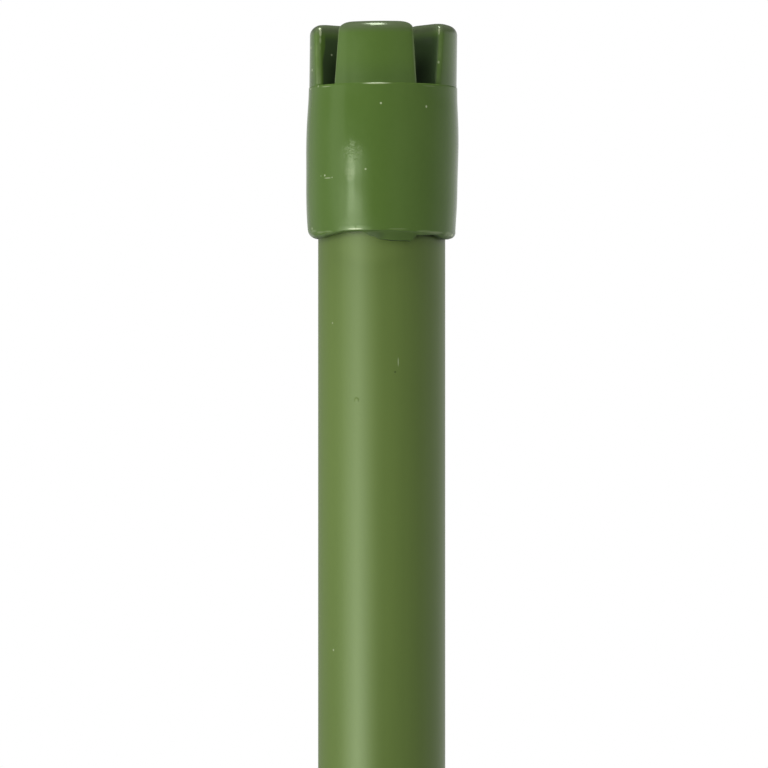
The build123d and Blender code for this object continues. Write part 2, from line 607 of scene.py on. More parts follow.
@dataclass(frozen=True)
class CapFinish(Finish):
    """Glossy moulded plastic: richer green, faint flow marks, painted shade in the slots and under the rim,
    dust and painted shade on the prongs' tops, edges of wear and painted highlight, scuffs, and painted
    glints.
    """

    cap: "SlottedCap"
    name: str = "cap_plastic"
    dark: Colour = srgb(75, 102, 42)
    light: Colour = srgb(86, 112, 50)
    pale: Colour = srgb(196, 206, 168)
    # Colours of dust with painted shade on the tops, of painted shade in the slots and at the prongs' foot,
    # and of the darkest painted shade.
    dust_and_shade: Colour = srgb(88, 98, 74)
    crease_shade: Colour = srgb(53, 66, 49)
    grime_and_shade: Colour = srgb(26, 33, 25)
    roughness: float = 0.155
    refraction: float = 1.5
    flow_scales: Triple = (140.0, 140.0, 60.0)
    fine_scale: float = 1500.0
    edge_patch_scales: Triple = (700.0, 700.0, 420.0)
    haze_scales: Triple = (900.0, 900.0, 1600.0)
    scuff_scales: Triple = (3400.0, 3400.0, 2600.0)
    relief_depth: float = 0.02
    slot_shade_cover: float = 0.8
    foot_shade_cover: float = 0.2
    top_dust_shade_cover: float = 0.82
    darkening_cover: float = 0.25
    edge_wear_and_highlight_cover: float = 0.14
    scuff_cover: float = 0.06
    haze_and_highlight_cover: float = 0.12
    radius: float = 9.5
    haze_and_highlight_spot: BlemishAndPaintedLight = BlemishAndPaintedLight(Mark.PATCH, (350.8, 170.5), 2.2, 1.9, 1.0)
    scuff_patch: BlemishAndPaintedLight = BlemishAndPaintedLight(Mark.PATCH, (353.0, 151.0), 3.8, 0.9, 1.0)
    barrel_marks: tuple[BlemishAndPaintedLight, ...] = (
        BlemishAndPaintedLight(Mark.SPECK, (381.0, 103.0), 0.36, 1.0, 0.8),
        BlemishAndPaintedLight(Mark.SPECK, (426.0, 106.5), 0.34, 1.3, 0.8),
        BlemishAndPaintedLight(Mark.SPECK, (366.0, 169.0), 0.34),
        BlemishAndPaintedLight(Mark.SPECK, (325.8, 175.4), 0.34, 1.0, 0.7),
        BlemishAndPaintedLight(Mark.SPECK, (322.0, 176.0), 0.22, 1.0, 0.4),
        BlemishAndPaintedLight(Mark.SCRATCH, (328.5, 178.0), 1.5, 0.16, 0.35),
        BlemishAndPaintedLight(Mark.SPECK, (333.0, 177.4), 0.24, 1.0, 0.45),
    )
    crown_wear_and_glints: tuple[BlemishAndPaintedLight, ...] = (
        BlemishAndPaintedLight(Mark.SPECK, (332.0, 55.0), 0.36, 1.0, 0.6, 7.08),
        BlemishAndPaintedLight(Mark.SPECK, (438.0, 62.0), 0.45, 1.3, 0.5, 9.1),
        # Pale lines and dots down the left prong's slot edge: wear and painted highlight.
        BlemishAndPaintedLight(Mark.SCRATCH, (320.6, 28.6), 0.42, 2.2, 0.7, 8.7),
        BlemishAndPaintedLight(Mark.SCRATCH, (320.9, 33.0), 0.4, 3.0, 0.55, 8.7),
        BlemishAndPaintedLight(Mark.SPECK, (321.8, 34.6), 0.4, 1.0, 0.5, 8.7),
        BlemishAndPaintedLight(Mark.SPECK, (318.9, 34.4), 0.34, 1.0, 0.4, 8.85),
        BlemishAndPaintedLight(Mark.SCRATCH, (321.0, 39.5), 0.4, 3.4, 0.28, 8.75),
        BlemishAndPaintedLight(Mark.SCRATCH, (321.0, 47.0), 0.36, 3.4, 0.16, 8.8),
        # A pale dot at the slot floor's edge: painted glint.
        BlemishAndPaintedLight(Mark.SPECK, (319.2, 86.4), 0.45, 0.8, 0.4, 9.3),
        # A pale line down the right prong's slot edge: wear and painted highlight.
        BlemishAndPaintedLight(Mark.SCRATCH, (438.6, 31.0), 0.32, 5.0, 0.45, 8.85),
        # Pale dots on the left prong's outer edge: nicks and painted glints.
        BlemishAndPaintedLight(Mark.SPECK, (311.2, 48.0), 0.55, 1.0, 0.7, 9.27),
        BlemishAndPaintedLight(Mark.SPECK, (312.5, 70.0), 0.45, 1.0, 0.6, 9.27),
        BlemishAndPaintedLight(Mark.SPECK, (311.0, 89.0), 0.5, 0.6, 0.7, 9.36),
        # Pale lines along the ledge and the slot floors' edges: painted highlights.
        BlemishAndPaintedLight(Mark.SCRATCH, (377.0, 83.0), 4.4, 0.07, 0.45, 9.34),
        BlemishAndPaintedLight(Mark.SCRATCH, (327.0, 86.5), 2.4, 0.07, 0.3, 9.34),
        BlemishAndPaintedLight(Mark.SCRATCH, (429.0, 86.0), 2.6, 0.07, 0.12, 9.34),
    )
    rim_glints_and_shade: tuple[BlemishAndPaintedLight, ...] = (
        # Pale lines and dots along the rim's edge: painted highlights and glints.
        BlemishAndPaintedLight(Mark.SCRATCH, (355.0, 228.7), 2.5, 0.1, 0.75),
        BlemishAndPaintedLight(Mark.SCRATCH, (398.0, 228.8), 3.2, 0.06, 0.12),
        BlemishAndPaintedLight(Mark.SCRATCH, (424.0, 231.2), 3.0, 0.12, 0.13, 9.3),
        BlemishAndPaintedLight(Mark.SCRATCH, (435.0, 232.6), 3.6, 0.12, 0.2, 9.3),
        BlemishAndPaintedLight(Mark.SCRATCH, (447.0, 234.6), 2.6, 0.35, 0.2, 9.2),
        BlemishAndPaintedLight(Mark.SPECK, (451.0, 235.4), 1.0, 0.5, 0.6, 9.2),
        BlemishAndPaintedLight(Mark.SPECK, (312.5, 228.6), 0.7, 0.6, 0.3, 9.33),
        BlemishAndPaintedLight(Mark.SCRATCH, (314.0, 231.2), 2.2, 0.2, 0.13, 9.3),
        BlemishAndPaintedLight(Mark.SCRATCH, (321.0, 232.3), 2.2, 0.16, 0.13, 9.3),
        BlemishAndPaintedLight(Mark.SCRATCH, (329.0, 231.6), 2.2, 0.14, 0.13, 9.3),
        # Dark spots under the rim: painted shade; the pale dot after them is a painted glint.
        BlemishAndPaintedLight(Mark.NICK, (413.0, 234.0), 0.3, 0.9, 0.6, 8.9),
        BlemishAndPaintedLight(Mark.NICK, (374.0, 235.0), 3.8, 0.42, 0.4, 8.6),
        BlemishAndPaintedLight(Mark.SPECK, (414.0, 235.8), 0.4, 0.6, 0.3, 8.7),
    )

    def surface(self, graph: Graph, place: Signal) -> dict[str, Any]:
        """Works out the shader's inputs.

        Args:
            graph: The material's tree.
            place: Object coordinates.

        Returns:
            Values and links of the shader's inputs, by name.
        """
        pushed = graph.scale(LEAN.vector(), graph.split(place, "Z") - LEAN.pivot * MM)
        place = graph.vector("SUBTRACT", place, pushed)
        axes = graph.split(place)
        reach = graph.reach(place)
        flow = graph.stretched(place, self.flow_scales)
        fine = graph.noise(place, detail=3.0, roughness=0.6, scale=self.fine_scale)
        tone = (flow - 0.5) * 0.9 + (fine - 0.5) * 0.3 + 0.5
        colour = graph.blend(tone, self.dark, self.light)
        # Painted shade in the slots and the well, deepest low down and towards the axis.
        slots = self._slot_shade(axes, reach)
        colour = graph.blend(slots * self.slot_shade_cover, colour, self.crease_shade)
        colour = graph.blend(slots * self._slot_shade_depth(axes, reach), colour, self.grime_and_shade)
        # Painted shade at the foot of the prongs' outer faces.
        colour = graph.blend(self._foot_shade(axes, reach) * self.foot_shade_cover, colour, self.crease_shade)
        # Dust and painted shade on the prongs' tops.
        colour = graph.blend(self._top_dust_and_shade(axes) * self.top_dust_shade_cover, colour, self.dust_and_shade)
        above_rim = axes.other("Z") - RIM.edge(graph, axes)
        # Painted shade on the rim's underside and lip, which are also made rougher.
        darkening = above_rim.ease_mm(0.28, 0.05)
        dull = above_rim.ease_mm(3.0, 0.8)
        colour = graph.blend(darkening * self.darkening_cover, colour, self.grime_and_shade)
        # Pale upright edges of the prongs: wear and painted highlight.
        rubbed = self._worn_and_highlit_edges(graph, place, axes, reach)
        colour = graph.blend(rubbed * self.edge_wear_and_highlight_cover, colour, self.pale)
        scuff = self.scuff_patch.mask(graph, place, self.radius, LEAN)
        scuff = scuff * graph.stretched(place, self.scuff_scales).ease(0.48, 0.66)
        # A pale haze in the stripe of gloss: worn haze and a painted highlight.
        haze = self.haze_and_highlight_spot.mask(graph, place, self.radius, LEAN)
        haze = haze * haze * graph.stretched(place, self.haze_scales).ease(0.3, 0.65, 0.45, 1.0)
        colour = graph.blend(scuff * self.scuff_cover + haze * self.haze_and_highlight_cover, colour, self.pale)
        # Most crown and rim marks are painted glints, highlights and shade.
        for mark in self.barrel_marks + self.crown_wear_and_glints + self.rim_glints_and_shade:
            tint = self.grime_and_shade if mark.kind is Mark.NICK else self.pale
            colour = graph.blend(mark.mask(graph, place, self.radius, LEAN), colour, tint)
        roughness = self.roughness + (flow - 0.5) * 0.08 + (fine - 0.5) * 0.06
        return {
            "Base Color": colour,
            "Roughness": roughness + scuff * 0.1 + dull * 0.1 + darkening * 0.2,
            "Normal": graph.bump(fine * 0.6 - scuff * 0.8, strength=0.25, depth=self.relief_depth),
            "IOR": self.refraction,
            "Specular Tint": GREEN_GLOSS,
        }

    def _slot_shade(self, axes: Signal, reach: Signal) -> Signal:
        """Finds the painted shade in the slots and the well, fainter and further in along Y than along X.

        Args:
            axes: The place, as the outputs of a Separate XYZ node.
            reach: Distance from the axis.

        Returns:
            The shade's mask.
        """
        top = self.cap.crown_top
        outer = self.cap.crown_radius
        along_y = (axes.other("Y").size() - axes.other("X").size()).ease_mm(-0.5, 0.5)
        top_shift = axes.other("Z").ease_mm(top - 5.0, top - 2.5, 0.42, 0.85)
        inside = (reach + along_y * top_shift * MM).ease_mm(outer - 0.2, outer - 0.55)
        inside = inside * axes.other("Z").ease_mm(top - 0.8, top - 2.2)
        return inside * (1.0 - along_y * 0.08)

    def _slot_shade_depth(self, axes: Signal, reach: Signal) -> Signal:
        """Gives how dark the painted shade in the slots is, which grows downwards and towards the axis."""
        low = axes.other("Z").ease_mm(self.cap.crown_top - 3.0, self.cap.crown_top - 6.0)
        return low * reach.ease_mm(8.8, 5.4, 0.15, 0.75)

    def _foot_shade(self, axes: Signal, reach: Signal) -> Signal:
        """Finds the painted shade at the foot of the prongs' outer faces, above the ledge.

        Args:
            axes: The place, as the outputs of a Separate XYZ node.
            reach: Distance from the axis.

        Returns:
            The painted shade's mask.
        """
        floor = self.cap.slot_floor
        outer = self.cap.crown_radius
        low = axes.other("Z").ease_mm(floor + 3.6, floor + 0.3)
        low = low * axes.other("Z").ease_mm(floor - 0.02, floor + 0.06)
        return low * reach.ease_mm(outer - 0.4, outer - 0.1)

    def _top_dust_and_shade(self, axes: Signal) -> Signal:
        """Gives a mask of the prongs' tops, which get dust and painted shade."""
        return axes.other("Z").ease_mm(self.cap.crown_top - 1.6, self.cap.crown_top - 0.5)

    def _worn_and_highlit_edges(self, graph: Graph, place: Signal, axes: Signal, reach: Signal) -> Signal:
        """Finds the prongs' upright edges, rubbed pale in patches and more on one side: wear and a painted
        highlight.

        Args:
            graph: The material's tree.
            place: Object coordinates, with the lean taken out.
            axes: The place, as the outputs of a Separate XYZ node.
            reach: Distance from the axis.

        Returns:
            The edges' mask.
        """
        rise = axes.other("Z") - self.cap.slot_floor * MM
        wall = rise * math.tan(math.radians(self.cap.slot_draft)) + self.cap.slot_half * MM
        off_wall = axes.other("X").size().least(axes.other("Y").size()) - wall
        edge = off_wall.ease_mm(0.75, 0.4) * reach.ease_mm(8.6, 8.9)
        edge = edge * axes.other("Y").ease_mm(0.5, -0.5, 0.5, 1.0)
        patchy = graph.stretched(place, self.edge_patch_scales, 2.0).ease(0.3, 0.7, 0.3, 1.0)
        return edge * patchy * rise.ease_mm(0.05, 0.3)


@dataclass(frozen=True)
class SteelFinish(Finish):
    """Bare drawn steel, with lines along the tube and duller patches."""

    name: str = "bare_steel"
    bright: Colour = srgb(186, 187, 186)
    dull: Colour = srgb(150, 149, 145)
    roughness: float = 0.34
    line_scales: Triple = (1200.0, 1200.0, 12.0)
    patch_scales: Triple = (180.0, 180.0, 60.0)
    relief_depth: float = 0.01

    def surface(self, graph: Graph, place: Signal) -> dict[str, Any]:
        """Works out the shader's inputs.

        Args:
            graph: The material's tree.
            place: Object coordinates.

        Returns:
            Values and links of the shader's inputs, by name.
        """
        lines = graph.stretched(place, self.line_scales)
        patches = graph.stretched(place, self.patch_scales, 4.0)
        return {
            "Base Color": graph.blend(patches.ease(0.35, 0.7), self.bright, self.dull),
            "Metallic": 1.0,
            "Roughness": self.roughness + (patches - 0.5) * 0.25 + (lines - 0.5) * 0.1,
            "Normal": graph.bump(lines, strength=0.3, depth=self.relief_depth),
        }


@dataclass(frozen=True)
class TipFinish(Finish):
    """Satin moulded plastic of the point, rubbed paler towards its nose."""

    name: str = "tip_plastic"
    dark: Colour = srgb(74, 96, 45)
    light: Colour = srgb(90, 112, 56)
    rubbed: Colour = srgb(120, 136, 92)
    roughness: float = 0.4
    refraction: float = 1.5
    flow_scales: Triple = (140.0, 140.0, 60.0)
    streak_scales: Triple = (900.0, 900.0, 70.0)
    fine_scale: float = 1400.0
    relief_depth: float = 0.02
    worn_below: float = -294.0
    bare_below: float = -299.0

    def surface(self, graph: Graph, place: Signal) -> dict[str, Any]:
        """Works out the shader's inputs.

        Args:
            graph: The material's tree.
            place: Object coordinates.

        Returns:
            Values and links of the shader's inputs, by name.
        """
        fine = graph.noise(place, detail=3.0, roughness=0.6, scale=self.fine_scale)
        streaks = graph.stretched(place, self.streak_scales, 2.0)
        wear = graph.split(place, "Z").ease_mm(self.worn_below, self.bare_below) * streaks.ease(0.35, 0.65)
        colour = graph.blend(graph.stretched(place, self.flow_scales), self.dark, self.light)
        return {
            "Base Color": graph.blend(wear * 0.7, colour, self.rubbed),
            "Roughness": self.roughness + (fine - 0.5) * 0.12 + wear * 0.15,
            "Normal": graph.bump(fine + streaks * 0.5, strength=0.3, depth=self.relief_depth),
            "IOR": self.refraction,
        }


@dataclass
class Section:
    """Outline drawn point by point: a turned piece's (radius, height), with weights, or a plan's (x, y)."""

    points: list[Point] = field(default_factory=list)
    weights: dict[str, list[float]] = field(default_factory=dict)

    def to(self, across: float, up: float, steps: int = 1) -> None:
        """Draws a straight line on to a point, or starts there.

        Args:
            across: The point's first value.
            up: Its second value.
            steps: Number of equal steps.
        """
        start = self.points[-1] if self.points else (across, up)
        for step in range(1, steps + 1):
            part = step / steps
            self.points.append((start[0] + (across - start[0]) * part, start[1] + (up - start[1]) * part))

    def arc(self, centre: Point, radius: float, start: float, end: float, steps: int) -> None:
        """Draws an arc, whose first point is left out where the outline already ends there.

        Args:
            centre: Centre of the arc.
            radius: Radius of the arc.
            start: First angle, in degrees from outward towards up.
            end: Last angle.
            steps: Number of steps.
        """
        for step in range(steps + 1):
            turn = math.radians(start + (end - start) * step / steps)
            spot = (centre[0] + radius * math.cos(turn), centre[1] + radius * math.sin(turn))
            if not self.points or math.dist(spot, self.points[-1]) > SAME_SPOT:
                self.points.append(spot)

    def flow(self, knots: Curve, steps: int) -> None:
        """Draws a smooth curve from the last point through some knots.

        Args:
            knots: Points that the curve passes, in order.
            steps: Steps between two knots.
        """
        chain = [self.points[-1], *knots]
        chain = [chain[0], *chain, chain[-1]]
        for a, b, c, d in zip(chain, chain[1:], chain[2:], chain[3:]):
            for step in range(1, steps + 1):
                t = step / steps
                spot = []
                for axis in (0, 1):
                    straight = 2 * b[axis] + (c[axis] - a[axis]) * t
                    bend = (2 * a[axis] - 5 * b[axis] + 4 * c[axis] - d[axis]) * t * t
                    twist = (3 * b[axis] - a[axis] - 3 * c[axis] + d[axis]) * t ** 3
                    spot.append((straight + bend + twist) / 2)
                self.points.append((spot[0], spot[1]))

    def object(self, name: str) -> bpy.types.Object:
        """Makes an object whose mesh is the section's points in order, with its weights as attributes.

        Args:
            name: Name of the object.

        Returns:
            The object, linked into the scene.
        """
        mesh = bpy.data.meshes.new(name)
        mesh.from_pydata([(radius * MM, 0.0, height * MM) for radius, height in self.points], [], [])
        for weight, values in self.weights.items():
            layer = mesh.attributes.new(weight, "FLOAT", "POINT")
            layer.data.foreach_set("value", values)
        piece = bpy.data.objects.new(name, mesh)
        bpy.context.scene.collection.objects.link(piece)
        return piece


class PieceTree:
    """Geometry Nodes tree that makes one piece from a given mesh and dresses it."""

    title: str
    inputs: dict[str, str]

    def grow(self, piece: bpy.types.Object, values: dict[str, Any]) -> None:
        """Runs the tree on a piece and keeps the result as the piece's plain mesh.

        Args:
            piece: Object whose mesh the tree starts from.
            values: Values of the tree's inputs, by name.
        """
        tree = self._build()
        modifier = piece.modifiers.new(tree.name, "NODES")
        modifier.node_group = tree
        for item in tree.interface.items_tree:
            if item.in_out == "INPUT" and item.name in values:
                modifier[item.identifier] = values[item.name]
        graph = bpy.context.evaluated_depsgraph_get()
        mesh = bpy.data.meshes.new_from_object(piece.evaluated_get(graph))
        piece.modifiers.remove(modifier)
        drawn = piece.data
        piece.data = mesh
        mesh.name = piece.name
        bpy.data.meshes.remove(drawn)

    def _build(self) -> bpy.types.NodeTree:
        """Builds the tree.

        Returns:
            The tree, with the geometry, the class's own inputs and a Material.
        """
        tree = bpy.data.node_groups.new(self.title, "GeometryNodeTree")
        for name, kind in {"Geometry": "Geometry", **self.inputs, "Material": "Material"}.items():
            tree.interface.new_socket(name, in_out="INPUT", socket_type=f"NodeSocket{kind}")
        tree.interface.new_socket("Geometry", in_out="OUTPUT", socket_type="NodeSocketGeometry")
        graph = Graph(tree)
        given = graph.add("NodeGroupInput")
        real = graph.add("GeometryNodeRealizeInstances", {}, {"Geometry": self.shaped(graph, given)})
        sockets = {"Geometry": real, "Material": given.other("Material")}
        dressed = graph.add("GeometryNodeSetMaterial", {}, sockets)
        graph.add("NodeGroupOutput", {}, {"Geometry": dressed})
        return tree

    def shaped(self, graph: Graph, given: Signal) -> Signal:
        """Shapes the piece.

        Args:
            graph: The tree.
            given: The tree's inputs.

        Returns:
            The piece's geometry.
        """
        raise NotImplementedError


@dataclass(frozen=True)
class RingPoint:
    """Point of a turned piece, as its tree works it out from the section."""

    graph: Graph
    given: Signal
    row: Signal
    turn: Signal
    radius: Signal
    height: Signal

    def at(self, radius: Value, height: Value) -> Signal:
        """Gives the place at this point's angle with another radius and height."""
        level = [self.graph.math(side, self.turn) for side in ("COSINE", "SINE")]
        return self.graph.join(radius * level[0], radius * level[1], height)

    def weight(self, name: str) -> Signal:
        """Reads one of the section's weights at the point.

        Args:
            name: Name of the weight.

        Returns:
            Its value.
        """
        named = self.graph.add("GeometryNodeInputNamedAttribute", {"data_type": "FLOAT"}, {"Name": name})
        return self.graph.add(
            "GeometryNodeSampleIndex",
            {"data_type": "FLOAT", "domain": "POINT"},
            {"Geometry": self.given.other("Geometry"), "Value": named, "Index": self.row},
        )


class TurnedTree(PieceTree):
    """Tree that turns a section about Z into a closed smooth mesh."""

    title = "Turned piece"
    inputs = {"Segments": "Int"}
    seam_reach = 0.002 * MM

    def shaped(self, graph: Graph, given: Signal) -> Signal:
        """Rolls a grid of the section's points round the axis and closes it.

        Args:
            graph: The tree.
            given: The tree's inputs.

        Returns:
            The piece's geometry.
        """
        section = given.other("Geometry")
        segments = given.other("Segments")
        rows = graph.add("GeometryNodeAttributeDomainSize", {"component": "MESH"}, {"Geometry": section})
        grid = graph.add("GeometryNodeMeshGrid", {}, {"Vertices X": segments + 1.0, "Vertices Y": rows})
        index = graph.add("GeometryNodeInputIndex")
        column = graph.math("FLOOR", index / rows)
        row = index - column * rows
        drawn = graph.add(
            "GeometryNodeSampleIndex",
            {"data_type": "FLOAT_VECTOR", "domain": "POINT"},
            {"Geometry": section, "Value": graph.add("GeometryNodeInputPosition"), "Index": row},
        )
        radius = graph.split(drawn)
        point = RingPoint(graph, given, row, column / segments * math.tau, radius, radius.other("Z"))
        moved = graph.add("GeometryNodeSetPosition", {}, {"Geometry": grid, "Position": self.place(point)})
        sockets = {"Geometry": moved, "Distance": self.seam_reach}
        closed = graph.add("GeometryNodeMergeByDistance", {}, sockets)
        return graph.add("GeometryNodeSetShadeSmooth", {}, {"Geometry": closed})

    def place(self, point: RingPoint) -> Signal:
        """Gives the place of a point, which is where the section has it."""
        return point.at(point.radius, point.height)


class ExtrudedTree(TurnedTree):
    """Turned tree whose outer wall carries the faint lines that an extrusion die leaves along it."""

    title = "Extruded sleeve"
    inputs = {"Segments": "Int", "Line Depth": "Float"}
    line_scale = 4.0
    line_drift = 0.6

    def place(self, point: RingPoint) -> Signal:
        """Changes a point's radius by the die lines where the section asks for them.

        Args:
            point: The point.

        Returns:
            Where it goes.
        """
        ring = point.at(1.0, point.height * self.line_drift)
        lines = point.graph.noise(ring, detail=2.0, roughness=0.5, scale=self.line_scale)
        depth = point.weight("lines") * point.given.other("Line Depth")
        return point.at(point.radius + (lines - 0.5) * depth, point.height)


class CapBodyTree(TurnedTree):
    """Turned tree of the cap's body, with a slightly uneven skin and a rim that was trimmed by hand."""

    title = "Cap body"
    inputs = {"Segments": "Int", "Rim Lift": "Float", "Lip Drop": "Float", "Wave": "Float", "Sink": "Float"}
    wave_scale = 2.2
    dent_scale = 170.0

    def place(self, point: RingPoint) -> Signal:
        """Lifts a point of the rim, drops its lip, sharpens its corner and dents the skin.

        Args:
            point: The point.

        Returns:
            Where it goes.
        """
        graph = point.graph
        given = point.given
        wave = graph.noise(point.at(1.0, 0.0), detail=2.0, roughness=0.5, scale=self.wave_scale) - 0.5
        lift = RIM.along(graph, point.turn, RIM.lifts) * given.other("Rim Lift") + wave * given.other("Wave")
        lift = lift * point.weight("rim")
        drop = RIM.along(graph, point.turn, RIM.drops) * given.other("Lip Drop") * point.weight("lip")
        sharp = RIM.along(graph, point.turn, RIM.sharpness) * (RIM.sharpest - RIM.bluntest) + RIM.bluntest
        out = sharp * point.weight("corner_out")
        down = sharp * point.weight("corner_down")
        spot = point.at(point.radius, point.height)
        dents = graph.noise(spot, detail=1.0, roughness=0.5, scale=self.dent_scale) - 0.5
        dents = dents * point.weight("skin") * given.other("Sink")
        return point.at(point.radius + out + dents, point.height + lift - drop - down)


class CrownTree(PieceTree):
    """Tree that repeats a prong round the axis, joins the ring to the body and leans all but the socket."""

    title = "Crown of prongs"
    inputs = {
        "Prongs": "Int",
        "Body": "Object",
        "Lean": "Vector",
        "Pivot Level": "Float",
        "Socket Radius": "Float",
        "Socket Top": "Float",
    }

    def shaped(self, graph: Graph, given: Signal) -> Signal:
        """Makes the cap from its prong and its body.

        Args:
            graph: The tree.
            given: The tree's inputs.

        Returns:
            The piece's geometry.
        """
        prongs = given.other("Prongs")
        points = graph.add("GeometryNodePoints", {}, {"Count": prongs})
        turn = graph.add("GeometryNodeInputIndex") / prongs * math.tau
        ring = graph.add(
            "GeometryNodeInstanceOnPoints",
            {},
            {"Points": points, "Instance": given.other("Geometry"), "Rotation": graph.join(0.0, 0.0, turn)},
        )
        loose = graph.add("GeometryNodeRealizeInstances", {}, {"Geometry": ring})
        body = graph.add("GeometryNodeObjectInfo", {}, {"Object": given.other("Body")}, "Geometry")
        settings = {"operation": "UNION", "solver": "EXACT"}
        joined = graph.add("GeometryNodeMeshBoolean", settings, {"Mesh 2": [body, loose]})
        offset = self._lean(graph, given)
        return graph.add("GeometryNodeSetPosition", {}, {"Geometry": joined, "Offset": offset})

    def _lean(self, graph: Graph, given: Signal) -> Signal:
        """Gives how far a point is pushed aside, growing away from the pivot and none in the socket.

        Args:
            graph: The tree.
            given: The tree's inputs.

        Returns:
            The push.
        """
        spot = graph.add("GeometryNodeInputPosition")
        height = graph.split(spot, "Z")
        inside = graph.math("LESS_THAN", graph.reach(spot), given.other("Socket Radius"))
        inside = inside * graph.math("LESS_THAN", height, given.other("Socket Top"))
        return graph.scale(given.other("Lean"), (height - given.other("Pivot Level")) * (1.0 - inside))


def finish_mesh(piece: bpy.types.Object, sharp: float = 32.0) -> None:
    """Points a piece's faces outwards and shades it smooth between its sharp edges.

    Args:
        piece: Piece with a closed mesh.
        sharp: Angle from which an edge stays sharp, in degrees.
    """
    shell = bmesh.new()
    shell.from_mesh(piece.data)
    bmesh.ops.recalc_face_normals(shell, faces=shell.faces)
    shell.to_mesh(piece.data)
    shell.free()
    piece.data.shade_smooth()
    piece.data.set_sharp_from_angle(angle=math.radians(sharp))


def settle(piece: bpy.types.Object, body: str, node: str) -> None:
    """Gives a piece its place in the frame and reports it.

    Args:
        piece: The finished piece.
        body: Body that it rides on.
        node: CAD node that it stands for.
    """
    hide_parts(node)
    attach(piece, body)
    log.info("%s: %d faces on %s", piece.name, len(piece.data.polygons), body)


@dataclass
class Shaft:
    """Steel tube in its plastic jacket, with the ground point in its lower end."""

    shank_radius: float = 8.0
    jacket_wall: float = 0.5
    steel_wall: float = 0.5
    jacket_round: float = 0.08
    steel_chamfer: float = 0.06
    line_depth: float = 0.012
    tube_bottom: float = -255.0
    tube_top: float = 889.3
    taper_start: float = RIM.level
    taper: float = 0.14
    jacket_segments: int = 256
    steel_segments: int = 192
    wall_rows: int = 56
    taper_rows: int = 6
    round_steps: int = 4
    steel_rows: int = 8
    map_columns: int = 5
    map_share: float = 0.93
    strip_start: float = 0.94
    strip_width: float = 0.05
    side_margin: float = 0.01
    end_margin: float = 0.05

    def build(self) -> None:
        """Builds and dresses the jacket, the tube and the point."""
        self._jacket()
        self._tube()
        self._tip()

    def _jacket(self) -> None:
        """Makes the sleeve, with die lines on its outer wall and a sized upper end."""
        outer = self.shank_radius
        inner = outer - self.jacket_wall
        top = outer - self.taper
        edge = self.jacket_round
        section = Section()
        section.to(inner, self.tube_bottom)
        section.to(outer - edge, self.tube_bottom)
        foot_centre = (outer - edge, self.tube_bottom + edge)
        section.arc(foot_centre, edge, start=-75.0, end=0.0, steps=self.round_steps)
        section.to(outer, self.taper_start, self.wall_rows)
        section.to(top, self.tube_top - edge, self.taper_rows)
        head_centre = (top - edge, self.tube_top - edge)
        section.arc(head_centre, edge, start=15.0, end=90.0, steps=self.round_steps)
        section.to(inner, self.tube_top)
        section.to(inner, self.tube_bottom, steps=2)
        lined = [radius >= outer - SAME_SPOT for radius, _ in section.points]
        section.weights["lines"] = [float(line) for line in lined]
        jacket = section.object("jacket_sleeve")
        ExtrudedTree().grow(jacket, {
            "Segments": self.jacket_segments,
            "Line Depth": self.line_depth * MM,
            "Material": JacketFinish(outer).make(),
        })
        finish_mesh(jacket)
        self._lay_out(jacket.data)
        settle(jacket, "shaft", "plastic_jacket")

    def _lay_out(self, sleeve: bpy.types.Mesh) -> None:
        """Gives the sleeve a map for baking, with the outer wall cut into columns and the rest in a strip.

        Args:
            sleeve: The jacket's mesh.
        """
        places = sleeve.uv_layers.new(name=BAKE_MAP).uv
        wall_middle = (self.shank_radius - self.jacket_wall / 2) * MM
        for face in sleeve.polygons:
            outside = face.center.xy.length > wall_middle
            middle_turn, middle_rise = self._unrolled(face.center)
            column = int(middle_rise * self.map_columns)
            for corner in face.loop_indices:
                turn, rise = self._unrolled(sleeve.vertices[sleeve.loops[corner].vertex_index].co)
                turn -= round(turn - middle_turn)
                if outside:
                    across = column + self.side_margin + (1.0 - 2 * self.side_margin) * turn
                    up = rise * self.map_columns - column
                    up = self.end_margin + (1.0 - 2 * self.end_margin) * up
                    places[corner].vector = (across / self.map_columns * self.map_share, up)
                else:
                    places[corner].vector = (self.strip_start + self.strip_width * turn, rise)

    def _unrolled(self, place: Vector) -> Point:
        """Gives a place's turn about the axis and its rise up the tube, each from 0 to 1."""
        rise = (place.z / MM - self.tube_bottom) / (self.tube_top - self.tube_bottom)
        return math.atan2(place.y, place.x) / math.tau + 0.5, rise

    def _tube(self) -> None:
        """Makes the steel tube inside the jacket."""
        outer = self.shank_radius - self.jacket_wall
        inner = outer - self.steel_wall
        edge = self.steel_chamfer
        section = Section()
        section.to(inner, self.tube_top - edge)
        section.to(inner + edge, self.tube_top)
        section.to(outer - edge, self.tube_top)
        section.to(outer, self.tube_top - edge)
        section.to(outer, self.tube_bottom + edge, self.steel_rows)
        section.to(outer - edge, self.tube_bottom)
        section.to(inner + edge, self.tube_bottom)
        section.to(inner, self.tube_bottom + edge)
        section.to(inner, self.tube_top - edge, self.steel_rows)
        tube = section.object("steel_core_tube")
        TurnedTree().grow(tube, {"Segments": self.steel_segments, "Material": SteelFinish().make()})
        finish_mesh(tube)
        settle(tube, "shaft", "steel_tube")

    def _tip(self) -> None:
        """Dresses the ground point, whose CAD shape is kept."""
        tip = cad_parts["ground_tip"]
        tip.data.materials.clear()
        tip.data.materials.append(TipFinish().make())
        log.info("%s: dressed, %d faces", tip.name, len(tip.data.polygons))


